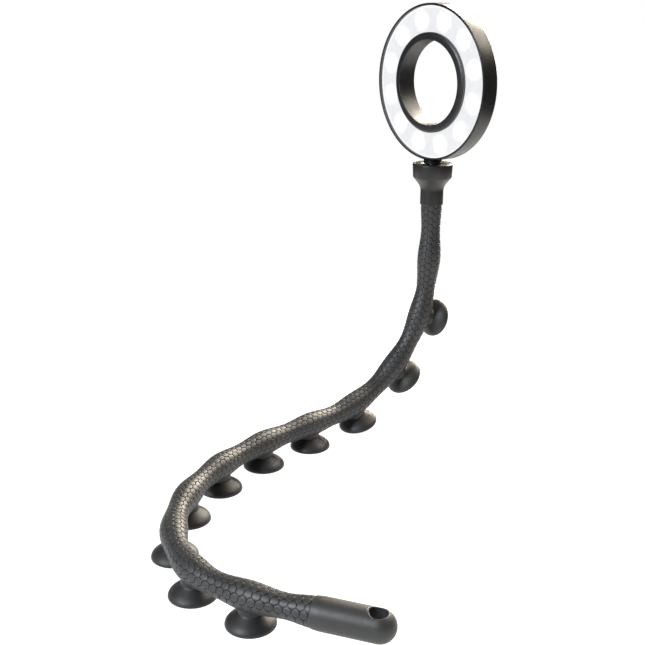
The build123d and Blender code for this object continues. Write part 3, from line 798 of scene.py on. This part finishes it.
# ================================================================ ring
neck_axis = Vector(swivel["axis"]).normalized()
face_axis = Vector(press["axis"]).normalized()
ring_centre = Vector(swivel["pos_m"]) + neck_axis * (STEM_SHOW + RING_R) * MM
ring = frame_matrix(ring_centre, neck_axis.cross(face_axis), face_axis)
stem_frame = frame_matrix(Vector(swivel["pos_m"]), face_axis, neck_axis)


def ring_piece(name, outline, material, slot, node, body="ring_head", cutters=(), around=192):
    """A turned piece of the ring that stands for a CAD node."""
    piece = lathe(name, outline, ring, around=around)
    if cutters:
        cut(piece, *cutters)
    paint(piece, material, slot)
    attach(piece, body)
    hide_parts(node)
    return piece


def on_ring(radius, degrees, height):
    """A frame on the ring: x is outward, and z is the way its face points."""
    return ring @ Matrix.Rotation(radians(degrees), 4, "Z") @ shift(radius, 0, height)


def rounded_slot(name, width, height, depth, matrix):
    """A slot with round ends, its depth along x."""
    half, radius = (width - height) / 2, height / 2
    outline = []
    for side in (1, -1):
        for step in range(13):
            angle = -side * pi / 2 + pi * step / 12
            outline.append((side * half + radius * cos(angle), radius * sin(angle)))
    count = len(outline)
    points = [(x * MM, a * MM, b * MM) for x in (-depth, depth) for a, b in outline]
    faces = [tuple(reversed(range(count))), tuple(range(count, 2 * count))]
    faces += [(i, (i + 1) % count, (i + 1) % count + count, i + count) for i in range(count)]
    return make_piece(name, points, faces, matrix)


stem = [(0, 0), (STEM_R - 0.25, 0), (STEM_R, 0.2), (STEM_R, 1.6), (STEM_R + 0.15, 2.3)]
stem += [(STEM_R + 0.6, 3.2), (STEM_R - 1.0, 3.4), (0, 3.4)]
piece = lathe("ring_stem", stem, stem_frame, around=96)
paint(piece, HOUSING, "housing_plastic")
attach(piece, "ring_head")
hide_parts("mount_stem")

shell = rounded(
    [
        (WALL_R - SEAM, -HALF_DEPTH, 0),
        (RING_R, -HALF_DEPTH, 0.9),
        (RING_R, HALF_DEPTH, 0.45),
        (WALL_R - SEAM, HALF_DEPTH, 0.25),
    ]
)
port = rounded_slot("port_cutter", *USB_SIZE, 4, on_ring(RING_R, CONTROL_ANGLE, USB_HEIGHT))
ring_piece("ring_shell", shell, HOUSING, "housing_plastic", "ring_housing", cutters=[port])

bezel = rounded(
    [
        (RING_BORE_R, -HALF_DEPTH, 0.3),
        (RING_BORE_R + BEZEL_WALL, -HALF_DEPTH, 0),
        (RING_BORE_R + BEZEL_WALL, PANE_BACK, 0),
        (BEZEL_R, PANE_BACK, 0),
        (BEZEL_R, PANE_FRONT + 0.2, 0.1),
        (BEZEL_R - 1.0, HALF_DEPTH + 0.55 * BEZEL_PROUD, 0.8),
        (RING_BORE_R, HALF_DEPTH + BEZEL_PROUD, 0.45),
    ]
)
ring_piece("ring_bezel", bezel, BEZEL, "bezel_plastic", "inner_bezel")

pane = [
    (BEZEL_R - SEAM, PANE_BACK),
    (WALL_R, PANE_BACK),
    (WALL_R, PANE_FRONT),
    (BEZEL_R - SEAM, PANE_FRONT),
]
diffuser = ring_piece("lit_pane", pane, GLOW, "diffuser_acrylic", "diffuser", around=256)
diffuser.data.materials.append(PANE)
for polygon in diffuser.data.polygons:
    if polygon.normal.z > 0.9:  # the front
        polygon.material_index = 1

hole_r = SCREW_HEAD_R + 0.12
outline = [(0, -1), (hole_r, -1), (hole_r, 0.75), (0, 0.75)]
screw_holes = []
for number, degrees in enumerate(SCREW_ANGLES):
    screw_place = on_ring(SCREW_CIRCLE_R, degrees, -HALF_DEPTH)
    screw_holes.append(lathe(f"screw_cutter_{number}", outline, screw_place, around=40))
outline = [(0, -1), (BUTTON_R + 0.1, -1), (BUTTON_R + 0.1, 4), (0, 4)]
button_place = on_ring(BUTTON_CIRCLE_R, CONTROL_ANGLE, -HALF_DEPTH)
button_hole = lathe("button_cutter", outline, button_place, around=64)
back_inner_r, back_outer_r = RING_BORE_R + BEZEL_WALL + 0.03, WALL_R - 0.05
outside, inside = -HALF_DEPTH + COVER_SINK, -HALF_DEPTH + COVER_THICKNESS
back = rounded(
    [
        (back_inner_r, outside, 0.15),
        (back_inner_r, inside, 0),
        (back_outer_r, inside, 0),
        (back_outer_r, outside, 0.15),
    ]
)
cutters = [*screw_holes, button_hole]
ring_piece("ring_back", back, COVER, "cover_plastic", "rear_cover", cutters=cutters)

dish, proud = -BUTTON_PROUD + 0.25, -BUTTON_PROUD
crown = [(0, dish)]
crown += bezier((0, dish), (1.4, dish), (1.8, proud), (2.3, proud), 6)
crown += bezier((2.3, proud), (2.9, proud), (BUTTON_R, -0.6), (BUTTON_R, -0.3), 6)
crown += [(BUTTON_R, 1.2), (BUTTON_R + 0.7, 1.22), (BUTTON_R + 0.7, 1.8)]
crown += [(1.3, 1.8), (1.3, 2.5), (0, 2.5)]
piece = lathe("ring_button", crown, button_place, around=96)
paint(piece, BUTTON, "button_rubber")
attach(piece, "button")
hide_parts("power_button")

# ================================================================ CAD nodes that stay
STAYING = {
    "core": (STEEL, "gooseneck_steel"),
    "tail_core": (STEEL, "gooseneck_steel"),
    "neck_core": (STEEL, "gooseneck_steel"),
    "tail_ferrule": (ALUMINIUM, "ferrule_aluminium"),
    "neck_ferrule": (ALUMINIUM, "ferrule_aluminium"),
    "neck_bushing": (BRASS, "brass"),
    "friction_washer": (SPRING, "spring_steel"),
    "swivel_stud": (STUD, "stud_steel"),
    "thread_insert": (BRASS, "brass"),
    "led_board": (BOARD_WHITE, "board_white"),
    "leds": (PHOSPHOR, "led_package"),
    "battery": (FOIL, "battery_foil"),
    "control_board": (BOARD_GREEN, "board_green"),
    "usb_socket": (CONNECTOR, "connector_steel"),
    "power_switch": (SWITCH, "switch_plastic"),
    "switch_plunger": (SWITCH, "switch_plastic"),
    "case_screws": (BLACKENED, "fastener_steel"),
}
for name, node in frame["nodes"].items():
    kind = "core" if name.startswith("core_") else name
    if kind in STAYING:
        paint(node, *STAYING[kind])

# ================================================================ floor, light, camera
corners = [(-1, -1), (1, -1), (1, 1), (-1, 1)]
points = [(x * FLOOR_HALF, y * FLOOR_HALF, cad_box[0][2]) for x, y in corners]
floor = make_piece("floor", points, [(0, 1, 2, 3)])
material, tree, shader = new_material("pale_floor")
shader.inputs["Base Color"].default_value = (0.3, 0.3, 0.3, 1)
shader.inputs["Roughness"].default_value = 0.9
shader.inputs["Specular IOR Level"].default_value = 0.0
shader.inputs["Emission Color"].default_value = (1, 1, 1, 1)
shader.inputs["Emission Strength"].default_value = 1.0
floor.data.materials.append(material)

# The backdrop is white to the camera, but lights the object only a little.
world = bpy.data.worlds.new("studio")
bpy.context.scene.world = world
world.use_nodes = True
tree = world.node_tree
backdrop = tree.nodes["Background"]
backdrop.inputs["Color"].default_value = (1, 1, 1, 1)
inputs = {"Color": (0.93, 0.96, 1.0, 1), "Strength": ROOM_LIGHT}
room = add_node(tree, "ShaderNodeBackground", inputs)
seen = add_node(tree, "ShaderNodeLightPath").outputs["Is Camera Ray"]
inputs = {0: seen, 1: room.outputs[0], 2: backdrop.outputs[0]}
mix = add_node(tree, "ShaderNodeMixShader", inputs)
tree.links.new(mix.outputs[0], tree.nodes["World Output"].inputs["Surface"])


def softbox(name, place, target, size, power, colour):
    """A flat soft light aimed at a point, in metres."""
    light = bpy.data.lights.new(name, "AREA")
    light.shape = "RECTANGLE"
    light.size, light.size_y = size
    light.energy = power
    light.color = colour
    lamp = bpy.data.objects.new(name, light)
    lamp.location = place
    aim = Vector(target) - Vector(place)
    lamp.rotation_euler = aim.to_track_quat("-Z", "Y").to_euler()
    bpy.context.scene.collection.objects.link(lamp)


middle = (Vector(cad_box[0]) + Vector(cad_box[1])) / 2
softbox("rim_light", middle + Vector((0.52, 0.97, 0.5)), middle, (0.55, 1.0), 42.0, WARM)
softbox("top_light", middle + Vector((0.8, 0.3, 0.85)), middle, (0.6, 0.6), 9.0, WARM)
softbox("front_light", middle + Vector((-0.95, -0.8, 0.75)), middle, (0.5, 0.6), 26.0, COOL)

camera_data = bpy.data.cameras.new("camera")
camera_data.lens = CAMERA_LENS
camera = bpy.data.objects.new("camera", camera_data)
camera.location = Vector(CAMERA_PLACE) * MM
camera.rotation_euler = (radians(90 - CAMERA_PITCH), 0, 0)
bpy.context.scene.collection.objects.link(camera)
bpy.context.scene.camera = camera
bpy.context.scene.view_settings.view_transform = "Standard"
